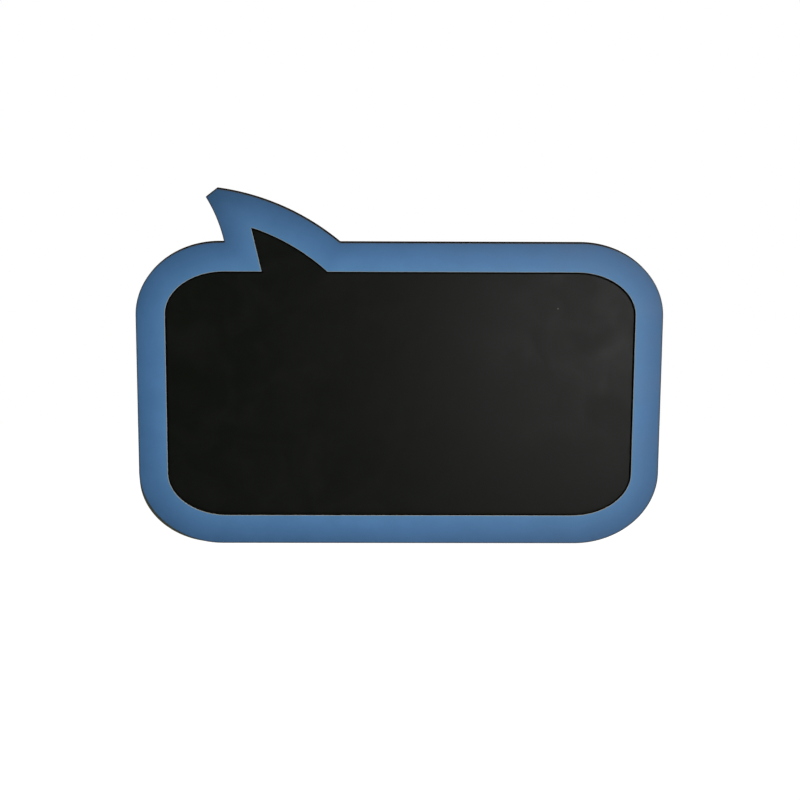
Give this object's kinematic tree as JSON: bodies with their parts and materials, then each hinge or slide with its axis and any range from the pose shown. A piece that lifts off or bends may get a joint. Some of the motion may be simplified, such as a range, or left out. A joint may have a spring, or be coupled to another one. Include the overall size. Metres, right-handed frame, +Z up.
{
  "type": "chalkboard",
  "caption": "Wall chalkboard shaped like a speech bubble, with a flat blue frame round a black writing panel and hinged hanging rings on its back.",
  "frame": {"origin": "the middle of the bubble's rectangular body, on the plane of the wall that the backs of the rubber bumpers touch", "axes": "+X to the right seen from the front, +Y from the face to the wall, +Z up towards the tail"},
  "size_m": [0.5, 0.014, 0.344],
  "materials": {
    "frame_paint": "satin blue paint on thin fibreboard with bare sawn edges",
    "chalk_coating": "matt black chalkboard coating on thin board",
    "zinc_plate": "bright zinc plate",
    "bumper_rubber": "matt moulded rubber"
  },
  "bodies": {
    "board": {"front_frame": "frame_paint", "writing_panel": "chalk_coating", "frame_screw_1": "zinc_plate", "frame_screw_2": "zinc_plate", "frame_screw_3": "zinc_plate", "frame_screw_4": "zinc_plate", "frame_screw_5": "zinc_plate", "frame_screw_6": "zinc_plate", "frame_screw_7": "zinc_plate", "frame_screw_8": "zinc_plate", "left_hanger_strap": "zinc_plate", "left_hanger_screw_upper": "zinc_plate", "left_hanger_screw_lower": "zinc_plate", "right_hanger_strap": "zinc_plate", "right_hanger_screw_upper": "zinc_plate", "right_hanger_screw_lower": "zinc_plate", "bumper_top_left": "bumper_rubber", "bumper_top_right": "bumper_rubber", "bumper_bottom_left": "bumper_rubber", "bumper_bottom_right": "bumper_rubber"},
    "left_ring": {"left_hanger_ring": "zinc_plate"},
    "right_ring": {"right_hanger_ring": "zinc_plate"}
  },
  "joints": [
    {"name": "left_ring_turn", "type": "hinge", "parent": "board", "child": "left_ring", "pos_m": [-0.16, -0.0029, 0.12575], "axis": [1, 0, 0], "range_deg": [0, 179.5]},
    {"name": "right_ring_turn", "type": "hinge", "parent": "board", "child": "right_ring", "pos_m": [0.16, -0.0029, 0.12575], "axis": [1, 0, 0], "range_deg": [0, 179.5]}
  ]
}
